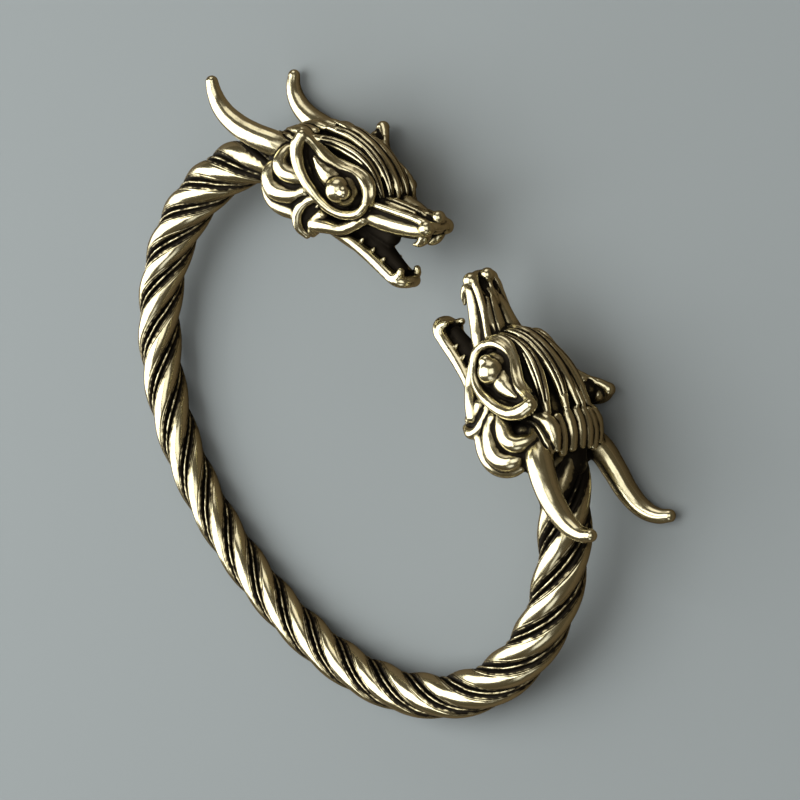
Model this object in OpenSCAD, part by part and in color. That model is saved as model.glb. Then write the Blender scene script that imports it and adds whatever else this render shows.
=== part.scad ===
// Open arm ring cast in one piece: a twisted hoop that ends in two dragon heads with open jaws.
// Lengths are in millimetres. The ring lies on its side on z = 0, with its gap towards -Y.
// A head is modelled in its own frame: x forward to the snout, y up over the brow, z out to its side.
// The tables hold shares of the named sizes, one row for each section or bend.

/* [Hoop] */
// Width of the oval between the middles of the hoop's two sides
hoop_width = 66.9; // [60:0.1:76]
// Distance from the middle of the oval to the middle of the hoop's back
hoop_depth = 25.2; // [22:0.1:30]
// How far the oval's sides are flattened, as a share of its half width
side_flatness = 0.058; // [0:0.002:0.08]
// How far the oval's back is flattened, as a share of its depth
back_flatness = 0.06; // [0:0.002:0.08]
// Thickness of the twisted rope at the hoop's back
rope_back_thickness = 4.65; // [3.8:0.05:6]
// Thickness of the twisted rope where it enters a head
rope_neck_thickness = 5.9; // [4.8:0.05:6.8]
// Number of lobes twisted together
rope_lobes = 4; // [3:1:5]
// Length of hoop in which a lobe goes once round
twist_length = 22.8; // [18:0.1:32]
// Turn of the twist at the start of the hoop
twist_start = 10; // [0:1:90]
// Depth of the groove between two lobes
groove_depth = 0.75; // [0.4:0.05:0.9]
// Thickness of the thin wire that shows in a groove
groove_wire = 0.7; // [0.4:0.05:0.9]

/* [Heads] */
// Gap between the tips of the two snouts
snout_gap = 7.0; // [5:0.1:12]
// Length of a head from the back of its cheeks to its snout
head_length = 22; // [19:0.1:25]
// Height of a head from the underside of its jaw to its brow
head_height = 12; // [10:0.1:14]
// Width of a head across its cheeks
head_width = 9.4; // [8.4:0.1:11]
// Height of the head's base line over the middle of the rope at its neck
head_rise = -1.7; // [-3:0.1:0]
// Diameter of an eyeball
eye_diameter = 3.2; // [2.4:0.1:3.8]
// Thickness of the rims round an eye
rim_thickness = 1.2; // [0.8:0.05:1.5]
// Width between the tips of the two ears
ear_spread = 13.4; // [12:0.1:15]
// Thickness of the hair ridges on the skull
hair_thickness = 0.95; // [0.7:0.05:1.4]
// Number of hair ridges on each side of the skull
hair_ridges = 4; // [3:1:5]
// Thickness of the locks on the cheeks
lock_thickness = 1.95; // [1.5:0.05:2.5]
// Number of ribs over the nape
nape_ribs = 6; // [5:1:9]
// Length of the ribs over the nape
nape_length = 3.4; // [2.5:0.1:4.5]

/* [Jaws] */
// Width of the snout at its tip
snout_width = 4.8; // [4:0.1:6]
// Height of the open mouth between the jaws' tips
mouth_opening = 5.6; // [4.5:0.1:6.5]
// Thickness of the lower jaw at its tip
jaw_thickness = 1.2; // [0.9:0.05:1.8]
// Length of the four canine teeth
canine_length = 1.6; // [1:0.1:2.1]
// Number of small teeth along each side of a jaw
small_teeth = 3; // [2:1:4]

/* [Horns] */
// How far a horn reaches back behind the cheeks
horn_reach = 9.1; // [7:0.1:11]
// Width between the tips of the two horns, at their middles
horn_spread = 13.2; // [12:0.1:16]
// Thickness of a horn at its root
horn_root = 2.9; // [2.2:0.1:3.4]
// Thickness of a horn at its tip
horn_tip = 1.5; // [1.2:0.1:2]

/* [Hidden] */

half_hoop = hoop_width / 2;
half_head = head_width / 2;
neck_x = snout_gap / 2 + head_length;
metal = [0.72, 0.64, 0.42];

// Share of the depth by which the oval leans towards its back
lean = 0.0144;
// Sections of the hoop in one turn of the twist, and its start and end inside the heads
sections_per_turn = 9;
rope_overlap = 3.2;

// Vectors and smooth rows
function unit(v) = v / norm(v);
function last(rows) = rows[len(rows) - 1];
function spline(p, i, t) =
    let (a = p[max(i - 1, 0)], b = p[i], c = p[i + 1], d = p[min(i + 2, len(p) - 1)])
    0.5 * (2 * b + (c - a) * t + (2 * a - 5 * b + 4 * c - d) * t * t
        + (3 * b - a - 3 * c + d) * t * t * t);
function smooth(p, steps) = [
    for (i = [0:len(p) - 2]) for (k = [0:steps - 1]) spline(p, i, k / steps),
    last(p)
];
function along(p, i) = unit(p[min(i + 1, len(p) - 1)] - p[max(i - 1, 0)]);

// Closed skin over rings that all have the same number of points
module skin(rings) {
    n = len(rings[0]);
    m = len(rings);
    points = [for (ring = rings) each ring];
    sides = [for (i = [0:m - 2]) for (k = [0:n - 1])
        let (a = i * n + k, b = i * n + (k + 1) % n)
        each [[a, a + n, b], [b, a + n, b + n]]];
    start = [[for (k = [0:n - 1]) k]];
    end = [[for (k = [0:n - 1]) m * n - 1 - k]];
    polyhedron(points = points, faces = concat(sides, start, end), convexity = 8);
}

// Middle line of the hoop: angle 0 is +X and 90 is the back
function oval(a) = [
    half_hoop * ((1 - side_flatness) * cos(a) + side_flatness * cos(3 * a)),
    hoop_depth * ((1 + back_flatness + lean) * sin(a) + lean * cos(2 * a) + back_flatness * sin(3 * a)),
    0
];
// Angle on the +X side, in front of the middle, at which the middle line has a given x
function angle_at(x, low = -89, high = 0, n = 24) =
    n == 0 ? (low + high) / 2
    : let (mid = (low + high) / 2)
      oval(mid).x > x ? angle_at(x, low, mid, n - 1) : angle_at(x, mid, high, n - 1);
neck_angle = angle_at(neck_x);
end_angle = angle_at(neck_x - rope_overlap);
neck_y = -oval(neck_angle).y + head_rise;

// Thickness of the rope at an angle of the oval
function rope_radius(a) =
    let (share = (1 - sin(a)) / (1 - sin(neck_angle)))
    (rope_back_thickness + (rope_neck_thickness - rope_back_thickness) * share) / 2;

// One lobe of the rope's section, wire to wire: [share of the lobe's angle, depth as a share of the groove's]
LOBE = [
    [0.00, "wire"],
    [0.09, 1.00],
    [0.25, 0.35],
    [0.50, 0.00],
    [0.75, 0.35],
    [0.91, 1.00]
];
wire_rise = groove_wire / 2;
function lobe_depth(row) = is_string(row[1]) ? groove_depth - wire_rise : row[1] * groove_depth;

rope_steps = round(rope_sections_wanted());
function rope_sections_wanted() = sections_per_turn * last(rope_lengths(90)) / twist_length;
function rope_angle(i, n) = end_angle + (180 - 2 * end_angle) * i / n;
function rope_lengths(n) =
    let (p = [for (i = [0:n]) oval(rope_angle(i, n))])
    [for (i = 0, s = 0; i <= n; i = i + 1, s = i <= n ? s + norm(p[i] - p[i - 1]) : s) s];

function rope_ring(a, turn) =
    let (c = oval(a), ahead = unit(oval(a + 0.5) - oval(a - 0.5)), out = cross(ahead, [0, 0, 1]),
        r = rope_radius(a))
    [for (lobe = [0:rope_lobes - 1]) for (row = LOBE)
        let (w = -360 * (lobe + row[0]) / rope_lobes - turn, q = r - lobe_depth(row))
        c + q * cos(w) * out + q * sin(w) * [0, 0, 1]];

module rope() {
    lengths = rope_lengths(rope_steps);
    skin([for (i = [0:rope_steps])
        rope_ring(rope_angle(i, rope_steps), twist_start + 360 * lengths[i] / twist_length)]);
}

// Skull sections: [forward, bottom, top, half width, height of the widest place, relief of the hair]
SKULL = [
    [0.01, 0.06, 0.62, 0.66, 0.34, 0.00],
    [0.07, -0.02, 0.71, 0.92, 0.33, 0.00],
    [0.18, -0.05, 0.77, 1.00, 0.33, 0.70],
    [0.32, -0.04, 0.82, 1.00, 0.37, 1.00],
    [0.45, 0.00, 0.86, 0.96, 0.44, 1.00],
    [0.57, 0.11, 0.88, 0.85, 0.51, 1.00],
    [0.67, 0.29, 0.87, 0.70, 0.55, 0.80],
    [0.74, 0.44, 0.78, 0.60, 0.60, 0.00]
];
skull_squareness = 0.85;
hair_edge = 24;
underside = [0, -32, -70, -110, -148, -180];
function column(table, f, c) = lookup(f, [for (row = table) [row[0], row[c]]]);
function power(v, e) = sign(v) * pow(abs(v), e);
// Point of the skull at a forward share and an angle: 0 is one side, 90 the top, 180 the other side
function on_skull(f, a, out = 0) =
    let (mid = column(SKULL, f, 4),
        high = sin(a) > 0 ? column(SKULL, f, 2) - mid : mid - column(SKULL, f, 1),
        w = column(SKULL, f, 3) * half_head * power(cos(a), skull_squareness),
        h = high * head_height * power(sin(a), skull_squareness))
    [f * head_length, mid * head_height + h + out * sin(a), w + out * cos(a)];

// Ring of one section: hair ridges and furrows by turns over the top, smooth below
function skull_ring(row) = concat(
    [for (k = [0:4 * hair_ridges])
        on_skull(row[0], 180 - hair_edge - (180 - 2 * hair_edge) * k / (4 * hair_ridges),
            k % 2 == 1 ? row[5] * hair_thickness / 2 : 0)],
    [for (a = underside) on_skull(row[0], a)]
);
module skull() {
    skin([for (row = SKULL) skull_ring(row)]);
}

// Head places given as shares of the head's length, height and half width
function at(f, u, w) = [f * head_length, u * head_height, w * half_head];

// Ring of points round a place, across a direction
function ring_across(place, ahead, radius, sides) =
    let (s = unit(cross(ahead, [0, 0, 1])), t = cross(ahead, s))
    [for (k = [0:sides - 1])
        place + radius * (cos(360 * k / sides) * s + sin(360 * k / sides) * t)];

// Round bar through rows [x, y, z, radius], with rounded ends
module bar(rows, sides, steps) {
    p = smooth(rows, steps);
    c = [for (row = p) [row[0], row[1], row[2]]];
    r = [for (row = p) row[3]];
    first = c[0] - 0.6 * r[0] * along(c, 0);
    final = last(c) + 0.6 * last(r) * along(c, len(c) - 1);
    centres = concat([first], c, [final]);
    radii = concat([0.55 * r[0]], r, [0.55 * last(r)]);
    skin([for (i = [0:len(centres) - 1]) ring_across(centres[i], along(centres, i), radii[i], sides)]);
}

module ball(place, radius, sides) {
    translate(place)
        sphere(r = radius, $fn = sides);
}

// Rim round the eye, from the ear's tip round below and in front of the eye: [forward, up, out, thickness]
LOWER_RIM = [
    [0.195, 0.81, 1.00, 0.95],
    [0.225, 0.60, 0.93, 1.05],
    [0.33, 0.465, 0.88, 1.05],
    [0.45, 0.415, 0.82, 1.05],
    [0.545, 0.40, 0.74, 1.00],
    [0.627, 0.458, 0.65, 0.90],
    [0.668, 0.575, 0.59, 0.80],
    [0.645, 0.71, 0.56, 0.70]
];
UPPER_RIM = [
    [0.20, 0.82, 0.98, 0.90],
    [0.32, 0.76, 0.91, 0.90],
    [0.415, 0.76, 0.83, 0.90],
    [0.505, 0.79, 0.73, 0.90],
    [0.577, 0.775, 0.65, 0.85],
    [0.64, 0.715, 0.58, 0.75],
    [0.668, 0.60, 0.57, 0.70]
];
eye_place = at(0.525, 0.60, 0.85);
function rim_rows(table) = [for (row = table)
    [row[0] * head_length, row[1] * head_height, row[2] * ear_spread / 2 - rim_thickness / 4,
        row[3] * rim_thickness / 2]];

module eye() {
    bar(rim_rows(LOWER_RIM), 4, 1);
    bar(rim_rows(UPPER_RIM), 4, 1);
    ball(eye_place, eye_diameter / 2, 8);
    ball(eye_place + [0.1, 0, 0.42] * eye_diameter, eye_diameter / 5, 5);
    // Tear-shaped corner behind the eyeball, and the ear that carries the rims
    hull() {
        ball(eye_place - [0, 0, 0.1] * eye_diameter, eye_diameter / 3, 5);
        ball(at(0.345, 0.635, 1.05), eye_diameter / 9, 4);
    }
    hull() {
        ball([LOWER_RIM[0][0] * head_length, LOWER_RIM[0][1] * head_height, ear_spread / 2 - rim_thickness],
            rim_thickness / 2, 4);
        ball(on_skull(0.32, 15, -1), rim_thickness, 4);
        ball(on_skull(0.27, 50, -1), rim_thickness, 4);
    }
}

// Ribs side by side over the nape, each running forward from the edge over the root of the neck
nape_start = 0.058;
nape_edge = 22;
nape_rib_radius = 0.62 * 2.3 * half_head / nape_ribs;
module nape() {
    for (i = [0:nape_ribs - 1]) {
        a = nape_edge + (180 - 2 * nape_edge) * i / (nape_ribs - 1);
        back = nape_point(nape_start, a, 0);
        front = nape_point(nape_start + nape_length / head_length, a, -0.4 * nape_rib_radius);
        bar([[each back, nape_rib_radius], [each front, nape_rib_radius]], 4, 1);
    }
}
function nape_point(f, a, out) =
    let (p = on_skull(f, a > 90 ? 180 - a : a, out))
    a > 90 ? [p.x, p.y, -p.z] : p;

// Locks on the cheek: rows of [forward, up, out, thickness]
LOCKS = [
    [[0.07, 0.25, 0.94, 0.60], [0.12, 0.30, 1.02, 0.85], [0.21, 0.325, 1.06, 0.85], [0.30, 0.41, 1.10, 0.55]],
    [[0.055, 0.18, 0.90, 0.55], [0.09, 0.13, 0.98, 0.75], [0.155, 0.11, 1.04, 0.85], [0.255, 0.18, 1.08, 0.85],
        [0.355, 0.30, 1.10, 0.55]],
    [[0.07, 0.03, 0.85, 0.60], [0.145, 0.02, 1.00, 0.95], [0.245, 0.01, 1.06, 1.05], [0.345, 0.07, 1.08, 0.75]],
    [[0.435, 0.32, 1.08, 0.55], [0.39, 0.18, 1.08, 0.75], [0.40, 0.05, 1.05, 0.85], [0.465, 0.01, 1.00, 0.80],
        [0.50, 0.025, 0.95, 0.60]],
    [[0.52, 0.32, 1.03, 0.70], [0.48, 0.18, 0.99, 0.80], [0.51, 0.10, 0.94, 0.85], [0.575, 0.15, 0.90, 0.85]]
];
module cheek() {
    for (lock = LOCKS)
        bar([for (row = lock) [row[0] * head_length, row[1] * head_height, row[2] * half_head,
            row[3] * lock_thickness / 2]], 4, 1);
    // Bar of the cheek that runs forward from the jaw's hinge to the corner of the mouth
    hull() {
        ball(at(0.55, 0.17, 0.88), lock_thickness * 0.42, 4);
        ball(at(0.68, 0.41, 0.78), lock_thickness * 0.36, 4);
    }
    // Cheek under the locks
    hull() {
        ball(at(0.12, 0.14, 0.74), 0.12 * head_height, 4);
        ball(at(0.27, 0.12, 0.80), 0.13 * head_height, 4);
        ball(at(0.44, 0.14, 0.80), 0.11 * head_height, 4);
    }
}

// Jaws: the upper one rises to the snout and the lower one stays level
jaw_floor = 0.22 * head_height;
jaw_top = jaw_floor + jaw_thickness;
snout_bottom = jaw_top + mouth_opening;
// Snout sections: [forward, bottom between hinge and tip, top, half width between root and tip]
SNOUT = [
    [0.58, -0.10, 0.74, 0.00],
    [0.70, 0.10, 0.735, 0.15],
    [0.79, 0.46, 0.80, 0.42],
    [0.88, 0.76, 0.87, 0.68],
    [0.96, 0.96, 0.945, 0.95],
    [1.00, 1.06, 0.95, 1.10]
];
// Jaw sections: [forward, bottom as a share of the jaw's floor, top over it in jaw thicknesses, half width as above]
JAW = [
    [0.42, -0.10, 0.80, -0.30],
    [0.58, 0.45, 1.10, -0.05],
    [0.72, 0.77, 0.80, 0.25],
    [0.86, 0.95, 0.45, 0.62],
    [0.97, 1.00, 0.30, 0.95],
    [1.02, 1.09, 0.25, 1.20]
];
jaw_narrowing = 0.94;
snout_root = 0.82 * half_head;
function snout_half(share) = snout_root + (snout_width / 2 - snout_root) * share;
mouth_root = 0.40 * head_height;
function block(f, bottom, top, half, sides = 10) =
    [for (k = [0:sides - 1])
        let (a = -360 * (k + 0.5) / sides)
        [f * head_length, (bottom + top) / 2 + (top - bottom) / 2 * power(sin(a), 0.7) / power(sin(72), 0.7),
            half * power(cos(a), 0.6)]];

module snout() {
    skin([for (row = SNOUT)
        block(row[0], mouth_root + (snout_bottom - mouth_root) * row[1], row[2] * head_height,
            snout_half(row[3]))]);
    // Ridge down the middle, and a raised edge on each side, so that the nostrils lie between them
    hull() {
        ball(at(0.73, 0.76, 0), 0.09 * snout_width, 5);
        ball(at(0.93, 0.955, 0), 0.13 * snout_width, 5);
    }
    ball(at(0.94, 0.97, 0), 0.16 * snout_width, 6);
}
module snout_side() {
    hull() {
        ball([0.72 * head_length, 0.70 * head_height, snout_half(0.25)], 0.09 * snout_width, 4);
        ball([0.93 * head_length, 0.91 * head_height, snout_half(0.95)], 0.11 * snout_width, 4);
    }
    ball([0.975 * head_length, 0.88 * head_height, 0.35 * snout_width], 0.19 * snout_width, 6);
    tooth([0.975 * head_length, snout_bottom + 0.3 * canine_length, 0.33 * snout_width],
        [0.02 * head_length, -1.2 * canine_length, 0], 0.15 * snout_width);
    for (i = [1:small_teeth]) {
        share = i / (small_teeth + 0.6);
        f = 0.76 + 0.20 * share;
        low = mouth_root + (snout_bottom - mouth_root) * column(SNOUT, f, 1);
        tooth([f * head_length, low + 0.3, 0.86 * snout_half(column(SNOUT, f, 3))],
            [0, -0.55 * canine_length, 0], 0.09 * snout_width);
    }
}

module jaw() {
    skin([for (row = JAW)
        block(row[0], row[1] * jaw_floor, jaw_floor + row[2] * jaw_thickness,
            snout_half(row[3]) * jaw_narrowing)]);
}
// Raised edge of the lower jaw, from the corner of the mouth to the tip, which carries its teeth
edge_inset = 0.86;
jaw_edge_start = [0.66 * head_length, jaw_floor + 0.8 * jaw_thickness, snout_half(0.15) * edge_inset];
jaw_edge_end = [0.96 * head_length, jaw_floor + 0.7 * jaw_thickness, snout_half(0.92) * edge_inset];
module jaw_side() {
    hull() {
        ball(jaw_edge_start, 0.10 * snout_width, 4);
        ball(jaw_edge_end, 0.11 * snout_width, 4);
    }
    tooth([0.965 * head_length, jaw_floor + 0.2 * jaw_thickness, 0.33 * snout_width],
        [0.015 * head_length, 0.6 * jaw_thickness + 0.8 * canine_length, 0], 0.13 * snout_width);
    for (i = [1:small_teeth])
        tooth(jaw_edge_start + i / (small_teeth + 0.6) * (jaw_edge_end - jaw_edge_start),
            [0, 0.3 * snout_width / 3 + 0.6 * canine_length, 0], 0.09 * snout_width);
}
// Tooth from a place inside its jaw: where it reaches to, and its thickness at the root
tooth_sides = 3;
tooth_point = 0.2;
module tooth(place, reach, radius) {
    skin([
        ring_across(place, unit(reach), radius, tooth_sides),
        ring_across(place + reach, unit(reach), radius * tooth_point, tooth_sides)
    ]);
}

// Lump of the brow over the root of the snout
module brow() {
    hull() {
        ball(at(0.60, 0.82, 0.30), 0.075 * head_height, 5);
        ball(at(0.715, 0.895, 0.26), 0.06 * head_height, 5);
    }
}

// Horn, from inside the head backwards: [share of the reach, up, share of the half spread, share of the taper]
HORN = [
    [-0.35, 0.41, 0.55, 0.00],
    [-0.10, 0.37, 0.75, 0.05],
    [0.14, 0.29, 0.84, 0.22],
    [0.44, 0.25, 0.91, 0.45],
    [0.73, 0.285, 0.96, 0.72],
    [1.00, 0.38, 1.00, 1.00]
];
module horn() {
    bar([for (row = HORN) [-row[0] * horn_reach, row[1] * head_height, row[2] * horn_spread / 2,
        (horn_root + (horn_tip - horn_root) * row[3]) / 2]], 7, 1);
}

module half_of_head() {
    eye();
    cheek();
    snout_side();
    jaw_side();
    brow();
    horn();
}

module head() {
    skull();
    nape();
    snout();
    jaw();
    half_of_head();
    mirror([0, 0, 1])
        half_of_head();
}

// Rest on a flat surface: the tips of two horns and the hoop's back touch it
horn_end = [neck_x + horn_reach, -(neck_y + last(HORN)[1] * head_height), -horn_spread / 2];
rest_span = hoop_depth - horn_end.y;
back_radius = rope_radius(90);
rest_tilt = atan(-horn_end.z / rest_span)
    + asin((horn_tip / 2 - back_radius) / norm([rest_span, horn_end.z]));
rest_height = hoop_depth * sin(rest_tilt) + back_radius;

module arm_ring() {
    color(metal)
        translate([0, 0, rest_height])
            rotate([-rest_tilt, 0, 0]) {
                rope();
                for (side = [0, 1])
                    mirror([side, 0, 0])
                        translate([neck_x, -neck_y, 0])
                            rotate([0, 0, 180])
                                head();
            }
}

arm_ring();
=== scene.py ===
# %% [markdown]
# # An open arm ring with two dragon heads
#
# The real ring is one casting in brass: a hoop like a rope of four thick strands, with a thin wire lying
# in each groove, and at each end the head of a dragon with open jaws and two horns. It was dipped in a
# dark patina and polished again, so the high places are bright and the hollows nearly black.
#
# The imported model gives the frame: where the hoop and the heads are, and how large. Everything is
# modelled here in millimetres, lying flat and with the heads at the origin, because that is easy to think
# in. At the end each piece is tilted as the ring rests and scaled to metres.

import math

import bpy
import numpy as np
from mathutils import Matrix, Vector
from mathutils.bvhtree import BVHTree
from mathutils.kdtree import KDTree


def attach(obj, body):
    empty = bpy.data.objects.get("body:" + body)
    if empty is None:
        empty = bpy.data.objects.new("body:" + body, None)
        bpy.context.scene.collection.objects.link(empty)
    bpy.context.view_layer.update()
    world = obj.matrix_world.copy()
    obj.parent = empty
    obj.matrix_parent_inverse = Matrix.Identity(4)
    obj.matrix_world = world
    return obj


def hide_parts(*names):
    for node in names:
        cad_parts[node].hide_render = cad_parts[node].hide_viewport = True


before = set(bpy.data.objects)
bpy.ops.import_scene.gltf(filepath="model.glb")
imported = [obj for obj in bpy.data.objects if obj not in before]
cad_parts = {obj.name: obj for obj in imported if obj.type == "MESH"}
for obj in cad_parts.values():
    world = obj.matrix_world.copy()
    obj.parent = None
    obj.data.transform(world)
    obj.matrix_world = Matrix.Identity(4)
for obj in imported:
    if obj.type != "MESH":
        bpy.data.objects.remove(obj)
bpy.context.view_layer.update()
MM = 0.001

# %% [markdown]
# ## How the ring rests
#
# The ring lies on the lower tips of its horns and on the back of the hoop, so it is tilted a little. One
# matrix takes a point of the flat ring, in millimetres, to its place in the frame, in metres. It serves
# for the pieces and for the camera, whose place was found in the photograph from the flat ring too.

# %% Tilt and height of the resting ring
REST_TILT = math.radians(6.3945)
REST_HEIGHT = 5.1316
to_frame = (
    Matrix.Scale(MM, 4)
    @ Matrix.Translation((0, 0, REST_HEIGHT))
    @ Matrix.Rotation(-REST_TILT, 4, "X")
)
print("the gap's side is lifted to", round((to_frame @ Vector((0, -28, 0))).z / MM, 2), "mm")

# %% [markdown]
# ## The camera
#
# A photograph of a small ring is taken from about a third of a metre with a long lens. The view is set by
# what the camera aims at, how far off it is, its angles, and its roll. The roll is large, because in the
# photograph the ring's gap is at the right, and here the ring rests on a floor.

# %% Camera
CAMERA_AIM = Vector((-1.34, -4.04, -3.98))
CAMERA_DISTANCE = 340.4
CAMERA_AZIMUTH = math.radians(-37.244)
CAMERA_ELEVATION = math.radians(45.876)
CAMERA_ROLL = math.radians(-100.702)
LENS = 139.5


def camera_turn():
    """Turn of the camera over the flat ring: its roll, then its height over the ring, then its side."""
    upright = Matrix.Rotation(math.pi / 2 - CAMERA_ELEVATION, 4, "X")
    side = Matrix.Rotation(CAMERA_AZIMUTH, 4, "Z")
    return side @ upright @ Matrix.Rotation(CAMERA_ROLL, 4, "Z")


bpy.ops.object.camera_add()
camera = bpy.context.object
camera.name = "camera"
camera.data.lens = LENS
camera.data.clip_start = 0.01
camera.data.clip_end = 10
turn = Matrix.Rotation(-REST_TILT, 4, "X") @ camera_turn()
aim = to_frame @ CAMERA_AIM
camera.matrix_world = Matrix.Translation(aim) @ turn @ Matrix.Translation((0, 0, CAMERA_DISTANCE * MM))
bpy.context.scene.camera = camera
print("camera at", [round(v, 3) for v in camera.matrix_world.translation])

# %% [markdown]
# ## Helpers for the bench
#
# An operator works on whatever is selected, so each helper first deselects everything. `finish_with` adds
# a modifier, sets it and applies it, so that the mesh is final when the next step reads it.


# %% Selecting, applying and joining
def only(*objects):
    """Selects these objects and nothing else, and makes the first one active."""
    bpy.ops.object.select_all(action="DESELECT")
    for piece in objects:
        piece.select_set(True)
    bpy.context.view_layer.objects.active = objects[0]
    return objects[0]


def finish_with(piece, kind, **settings):
    """Adds one modifier with these settings and applies it."""
    only(piece)
    modifier = piece.modifiers.new(kind.lower(), kind)
    for name, value in settings.items():
        setattr(modifier, name, value)
    bpy.ops.object.modifier_apply(modifier=modifier.name)
    return piece


def joined(pieces, name):
    """One object from several."""
    only(*pieces)
    bpy.ops.object.join()
    bpy.context.object.name = name
    return bpy.context.object


def points_of(piece):
    """All places of a mesh as an array, one row each."""
    flat = np.empty(len(piece.data.vertices) * 3)
    piece.data.vertices.foreach_get("co", flat)
    return flat.reshape(-1, 3)


def move_points(piece, places):
    """Gives a mesh new places."""
    piece.data.vertices.foreach_set("co", np.asarray(places, float).ravel())
    piece.data.update()


def outward(piece):
    """Turns all faces outwards."""
    only(piece)
    bpy.ops.object.mode_set(mode="EDIT")
    bpy.ops.mesh.select_all(action="SELECT")
    bpy.ops.mesh.normals_make_consistent(inside=False)
    bpy.ops.object.mode_set(mode="OBJECT")
    return piece


# %% [markdown]
# ## The hoop's middle line
#
# The hoop is an oval, flattened at the sides and at the back, and open between the heads. A formula gives
# its points. It is measured along its length, because a rope's twist goes by length and not by angle.

# %% Oval, and the places along it
HOOP_WIDTH = 66.9
HOOP_DEPTH = 25.2
SIDE_FLATNESS = 0.058
BACK_FLATNESS = 0.06
LEAN = 0.0144
NECK_ANGLE = -34.54
END_ANGLE = -41.95
ROPE_BACK_THICKNESS = 4.65
ROPE_NECK_THICKNESS = 5.9


def oval(angle):
    """Points of the middle line at angles in radians: 0 is +X and a quarter turn is the back."""
    a = np.asarray(angle)
    x = HOOP_WIDTH / 2 * ((1 - SIDE_FLATNESS) * np.cos(a) + SIDE_FLATNESS * np.cos(3 * a))
    y = HOOP_DEPTH * (
        (1 + BACK_FLATNESS + LEAN) * np.sin(a) + LEAN * np.cos(2 * a) + BACK_FLATNESS * np.sin(3 * a)
    )
    return np.stack([x, y, 0 * x], axis=-1)


hoop_angles = np.radians(np.linspace(END_ANGLE, 180 - END_ANGLE, 4001))
hoop_line = oval(hoop_angles)
hoop_lengths = np.concatenate([[0], np.cumsum(np.linalg.norm(np.diff(hoop_line, axis=0), axis=1))])
HOOP_LENGTH = float(hoop_lengths[-1])
print("length of the hoop in mm:", round(HOOP_LENGTH, 1))

# %% [markdown]
# ## The twisted hoop
#
# A rope could be four strands wound round each other, but this one is cast: one skin with four wide,
# softly rounded lobes and a wire in each groove. So a circle with many points is shaped to the section of
# the rope, and the Screw modifier draws it up into a twisted column, as a die twists a bar. The points of
# the section are close together where the groove, the wire and the scored lines are, and wide apart on
# the smooth lobe.

# %% Section of the rope, shaped from a circle
LOBES = 4
TWIST_LENGTH = 22.8
TWIST_START = 10
# Half a lobe from the middle of the wire to the crown: [share of the lobe's angle, depth in mm]
HALF_LOBE = [
    [0.000, 0.36],
    [0.025, 0.38],
    [0.050, 0.50],
    [0.066, 0.74],
    [0.085, 0.96],
    [0.105, 0.98],
    [0.122, 0.74],
    [0.138, 0.50],
    [0.158, 0.38],
    [0.190, 0.29],
    [0.215, 0.25],
    [0.230, 0.225],
    [0.245, 0.20],
    [0.275, 0.165],
    [0.290, 0.145],
    [0.305, 0.13],
    [0.350, 0.085],
    [0.420, 0.025],
]
CROWN = [[0.5, 0.0]]
mirrored_half = [[1 - share, depth] for share, depth in reversed(HALF_LOBE[1:])]
lobe_rows = np.array(HALF_LOBE + CROWN + mirrored_half)
section_points = LOBES * len(lobe_rows)
# Lines scored along each lobe: [share of the lobe's angle, deepest cut in mm]
SCORED_LINES = [[0.230, 0.17], [0.290, 0.12], [0.770, 0.15], [0.710, 0.10]]

bpy.ops.object.select_all(action="DESELECT")
bpy.ops.mesh.primitive_circle_add(vertices=section_points, radius=ROPE_BACK_THICKNESS / 2)
hoop = bpy.context.object
hoop.name = "twisted_hoop"
section_shares = np.concatenate([lobe + lobe_rows[:, 0] for lobe in range(LOBES)]) / LOBES
section_depths = np.tile(lobe_rows[:, 1], LOBES)
section_radius = ROPE_BACK_THICKNESS / 2 - section_depths
move_points(
    hoop,
    np.stack(
        [
            section_radius * np.cos(2 * np.pi * section_shares),
            section_radius * np.sin(2 * np.pi * section_shares),
            0 * section_radius,
        ],
        axis=1,
    ),
)
print("points round the rope:", section_points)

# %% The section drawn up into a twisted column
HOOP_STEPS = 560
finish_with(
    hoop,
    "SCREW",
    angle=2 * math.pi * HOOP_LENGTH / TWIST_LENGTH,
    screw_offset=HOOP_LENGTH,
    steps=HOOP_STEPS,
    render_steps=HOOP_STEPS,
    use_merge_vertices=False,
)
column = points_of(hoop)
print("twisted column:", len(column), "points, height", round(float(np.ptp(column[:, 2])), 2), "mm")

# %% [markdown]
# ## Scored lines, and the bend
#
# On the real hoop fine lines are scored along the flanks of the lobes. They branch and fade, and no two
# lobes are alike, so their depth swells and ebbs along the length with a few waves of different lengths.
# After that the straight column is bent along the oval. A Curve modifier could bend it, but here the rope
# also grows thicker towards the heads by the same amount all round, so each point is placed by its length
# along the hoop, and its grooves keep their depth.


# %% Lobe of each point, and its place across the lobe
height = column[:, 2]
column_angle = np.arctan2(column[:, 1], column[:, 0])
column_radius = np.hypot(column[:, 0], column[:, 1])
untwisted = (column_angle - 2 * np.pi * height / TWIST_LENGTH) / (2 * np.pi) % 1.0 * LOBES
lobe_number = np.floor(untwisted + 1e-6)
share_in_lobe = untwisted - lobe_number
print("share of a lobe from", share_in_lobe.min().round(3), "to", share_in_lobe.max().round(3))

# %% Depth of the scored lines along the hoop
# Rows of [waves' angle per mm, shift for each seed, strength]
EBB_WAVES = [[0.31, 1.7, 1.0], [0.73, 4.1, 1.0], [1.57, 2.3, 0.7]]
EBB_MIDDLE = 0.45
EBB_SWING = 0.38
LINE_REACH = 0.004


def ebb(length, seed):
    """Smooth waves from 0 to 1 along the hoop, different for each seed."""
    waves = sum(strength * np.sin(length * rate + seed * shift) for rate, shift, strength in EBB_WAVES)
    return np.clip(EBB_MIDDLE + EBB_SWING * waves, 0, 1)


def on_scored_line(share):
    """Which points lie on the scored line at this share of each lobe."""
    return np.abs(share_in_lobe - share) < LINE_REACH


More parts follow.
